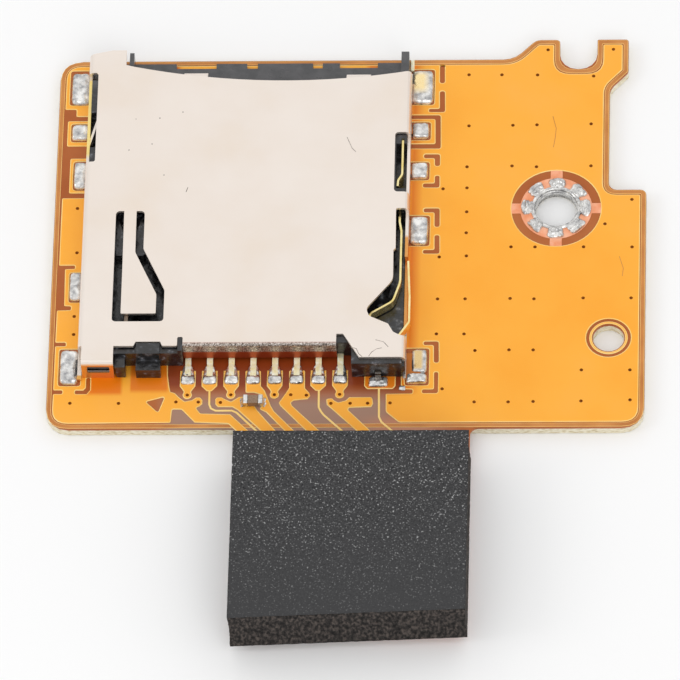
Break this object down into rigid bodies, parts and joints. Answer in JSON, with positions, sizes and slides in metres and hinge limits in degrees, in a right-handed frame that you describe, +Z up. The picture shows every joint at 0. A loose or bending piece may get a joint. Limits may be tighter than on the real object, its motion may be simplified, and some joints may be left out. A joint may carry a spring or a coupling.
{
  "type": "memory card socket",
  "caption": "Push-push memory card socket with a folded metal cover, soldered to an orange flexible board with a stiffener, a screw hole and a foam-backed tail.",
  "frame": {"origin": "middle of the whole part's footprint, on the surface that the board lies on", "axes": "+Z up from the board's underside to the socket's cover, +Y out of the card mouth, +X to the screw hole's side"},
  "size_m": [0.0302, 0.0361, 0.0034],
  "materials": {
    "flex_film": "satin",
    "stiffener_laminate": "matte",
    "soft_foam": "matte",
    "black_moulding": "satin",
    "nickel_plate": "satin",
    "gold_plate": "polished",
    "solder": "satin",
    "spring_steel": "polished",
    "capacitor_ceramic": "satin"
  },
  "bodies": {
    "socket": {"brake_spring": "gold_plate", "capacitor_body": "capacitor_ceramic", "capacitor_terminal_left": "solder", "capacitor_terminal_right": "solder", "contact_1": "gold_plate", "contact_2": "gold_plate", "contact_3": "gold_plate", "contact_4": "gold_plate", "contact_5": "gold_plate", "contact_6": "gold_plate", "contact_7": "gold_plate", "contact_8": "gold_plate", "eject_spring": "spring_steel", "flex_circuit": "flex_film", "foam_pad": "soft_foam", "plug_housing": "black_moulding", "plug_lug_left": "nickel_plate", "plug_lug_right": "nickel_plate", "shell": "nickel_plate", "socket_housing": "black_moulding", "solder_contact_1": "solder", "solder_contact_2": "solder", "solder_contact_3": "solder", "solder_contact_4": "solder", "solder_contact_5": "solder", "solder_contact_6": "solder", "solder_contact_7": "solder", "solder_contact_8": "solder", "solder_detect": "solder", "solder_left_1": "solder", "solder_left_2": "solder", "solder_left_3": "solder", "solder_left_4": "solder", "solder_left_5": "solder", "solder_right_1": "solder", "solder_right_2": "solder", "solder_right_3": "solder", "solder_right_4": "solder", "solder_right_5": "solder", "stiffener": "stiffener_laminate", "switch_blade": "gold_plate", "switch_contact": "gold_plate"},
    "push_slider": {"slider": "black_moulding", "card_latch": "gold_plate"},
    "cam_follower": {"cam_pin": "spring_steel"}
  },
  "joints": [
    {"name": "slider_push", "type": "slide", "parent": "socket", "child": "push_slider", "axis": [0, -1, 0], "range_m": [0, 0.0046], "stiffness_N_per_m": 150, "deforming": ["eject_spring"]},
    {"name": "cam_pin_swing", "type": "hinge", "parent": "socket", "child": "cam_follower", "pos_m": [-0.01114, -0.00065, 0.00157], "axis": [0, 0, 1], "range_deg": [0, 5.2]}
  ],
  "couplings": [
    {"joint": "cam_pin_swing", "follows": "slider_push", "rad_per_m": 19.26}
  ]
}
